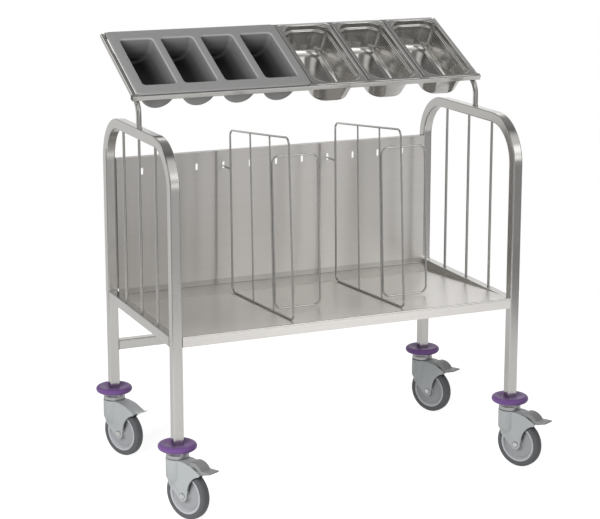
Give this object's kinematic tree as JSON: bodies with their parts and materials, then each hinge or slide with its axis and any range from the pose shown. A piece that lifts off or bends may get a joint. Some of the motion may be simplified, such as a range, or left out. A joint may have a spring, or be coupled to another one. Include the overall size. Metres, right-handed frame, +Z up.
{
  "type": "tray and cutlery trolley",
  "caption": "Steel trolley on swivel castors with bent tube end frames, a sloping tray shelf with wire dividers and a tilted rack holding a cutlery insert and food pans.",
  "frame": {"origin": "middle of the bounding box, on the floor", "axes": "+Z up, +X along the trolley to the right as seen from the front, +Y from the open front to the back panel"},
  "size_m": [1.194, 0.756, 1.2974],
  "materials": {
    "tube_steel": "ground stainless steel tube with a satin sheen",
    "sheet_steel": "stainless steel sheet with a fine lengthwise brushed grain",
    "wire_steel": "electropolished stainless steel wire",
    "polished_steel": "polished deep-drawn stainless steel",
    "insert_grey": "grey moulded plastic with a dull sheen",
    "bumper_violet": "violet soft plastic",
    "housing_grey": "light grey moulded plastic",
    "pedal_grey": "mid grey moulded plastic",
    "disc_grey": "light grey moulded plastic",
    "tyre_grey": "dark grey non-marking rubber"
  },
  "bodies": {
    "frame": {"left_end_frame": "tube_steel", "right_end_frame": "tube_steel", "left_cross_member": "tube_steel", "right_cross_member": "tube_steel", "left_rod_1": "tube_steel", "left_rod_2": "tube_steel", "left_rod_3": "tube_steel", "right_rod_1": "tube_steel", "right_rod_2": "tube_steel", "right_rod_3": "tube_steel", "shelf": "sheet_steel", "back_panel": "sheet_steel", "back_stretcher": "tube_steel", "left_post": "tube_steel", "right_post": "tube_steel", "front_rail": "tube_steel", "back_rail": "tube_steel", "left_end_bar": "tube_steel", "right_end_bar": "tube_steel", "cross_bar_1": "tube_steel", "cross_bar_2": "tube_steel", "cross_bar_3": "tube_steel", "front_left_bumper": "bumper_violet", "front_right_bumper": "bumper_violet", "back_left_bumper": "bumper_violet", "back_right_bumper": "bumper_violet", "front_left_cap": "housing_grey", "front_right_cap": "housing_grey", "back_left_cap": "housing_grey", "back_right_cap": "housing_grey"},
    "front_left_castor": {"front_left_fork": "housing_grey", "front_left_axle": "polished_steel"},
    "front_left_roller": {"front_left_wheel": "disc_grey", "front_left_tyre": "tyre_grey"},
    "front_left_pedal": {"front_left_brake": "pedal_grey"},
    "front_right_castor": {"front_right_fork": "housing_grey", "front_right_axle": "polished_steel"},
    "front_right_roller": {"front_right_wheel": "disc_grey", "front_right_tyre": "tyre_grey"},
    "front_right_pedal": {"front_right_brake": "pedal_grey"},
    "back_left_castor": {"back_left_fork": "housing_grey", "back_left_axle": "polished_steel"},
    "back_left_roller": {"back_left_wheel": "disc_grey", "back_left_tyre": "tyre_grey"},
    "back_right_castor": {"back_right_fork": "housing_grey", "back_right_axle": "polished_steel"},
    "back_right_roller": {"back_right_wheel": "disc_grey", "back_right_tyre": "tyre_grey"},
    "back_right_pedal": {"back_right_brake": "pedal_grey"},
    "insert": {"cutlery_insert": "insert_grey"},
    "food_pan_1": {"pan_1": "polished_steel"},
    "food_pan_2": {"pan_2": "polished_steel"},
    "food_pan_3": {"pan_3": "polished_steel"},
    "left_divider": {"left_divider_loop": "wire_steel", "left_divider_bars": "wire_steel", "left_divider_wing": "wire_steel"},
    "right_divider": {"right_divider_loop": "wire_steel", "right_divider_bars": "wire_steel", "right_divider_wing": "wire_steel"}
  },
  "joints": [
    {"name": "front_left_swivel", "type": "hinge", "parent": "frame", "child": "front_left_castor", "pos_m": [-0.54195, -0.24704, 0.171], "axis": [0, 0, 1], "continuous": true},
    {"name": "front_left_roll", "type": "hinge", "parent": "front_left_castor", "child": "front_left_roller", "pos_m": [-0.5247, -0.2809, 0.0725], "axis": [0.891, 0.454, 0], "continuous": true},
    {"name": "front_left_press", "type": "hinge", "parent": "front_left_castor", "child": "front_left_pedal", "pos_m": [-0.51154, -0.30674, 0.1555], "axis": [0.891, 0.454, 0], "range_deg": [0, 12]},
    {"name": "front_right_swivel", "type": "hinge", "parent": "frame", "child": "front_right_castor", "pos_m": [0.51805, -0.24704, 0.171], "axis": [0, 0, 1], "continuous": true},
    {"name": "front_right_roll", "type": "hinge", "parent": "front_right_castor", "child": "front_right_roller", "pos_m": [0.5353, -0.2809, 0.0725], "axis": [0.891, 0.454, 0], "continuous": true},
    {"name": "front_right_press", "type": "hinge", "parent": "front_right_castor", "child": "front_right_pedal", "pos_m": [0.54846, -0.30674, 0.1555], "axis": [0.891, 0.454, 0], "range_deg": [0, 12]},
    {"name": "back_left_swivel", "type": "hinge", "parent": "frame", "child": "back_left_castor", "pos_m": [-0.54195, 0.32296, 0.171], "axis": [0, 0, 1], "continuous": true},
    {"name": "back_left_roll", "type": "hinge", "parent": "back_left_castor", "child": "back_left_roller", "pos_m": [-0.5247, 0.2891, 0.0725], "axis": [0.891, 0.454, 0], "continuous": true},
    {"name": "back_right_swivel", "type": "hinge", "parent": "frame", "child": "back_right_castor", "pos_m": [0.51805, 0.32296, 0.171], "axis": [0, 0, 1], "continuous": true},
    {"name": "back_right_roll", "type": "hinge", "parent": "back_right_castor", "child": "back_right_roller", "pos_m": [0.5353, 0.2891, 0.0725], "axis": [0.891, 0.454, 0], "continuous": true},
    {"name": "back_right_press", "type": "hinge", "parent": "back_right_castor", "child": "back_right_pedal", "pos_m": [0.54846, 0.26326, 0.1555], "axis": [0.891, 0.454, 0], "range_deg": [0, 12]},
    {"name": "insert_lift", "type": "slide", "parent": "frame", "child": "insert", "axis": [0, -0.4462, 0.8949], "range_m": [0, 0.14]},
    {"name": "pan_1_lift", "type": "slide", "parent": "frame", "child": "food_pan_1", "axis": [0, -0.4462, 0.8949], "range_m": [0, 0.14]},
    {"name": "pan_2_lift", "type": "slide", "parent": "frame", "child": "food_pan_2", "axis": [0, -0.4462, 0.8949], "range_m": [0, 0.14]},
    {"name": "pan_3_lift", "type": "slide", "parent": "frame", "child": "food_pan_3", "axis": [0, -0.4462, 0.8949], "range_m": [0, 0.14]},
    {"name": "left_divider_pull", "type": "slide", "parent": "frame", "child": "left_divider", "axis": [0, -0.9983, 0.0579], "range_m": [0, 0.6]},
    {"name": "right_divider_pull", "type": "slide", "parent": "frame", "child": "right_divider", "axis": [0, -0.9983, 0.0579], "range_m": [0, 0.6]}
  ]
}
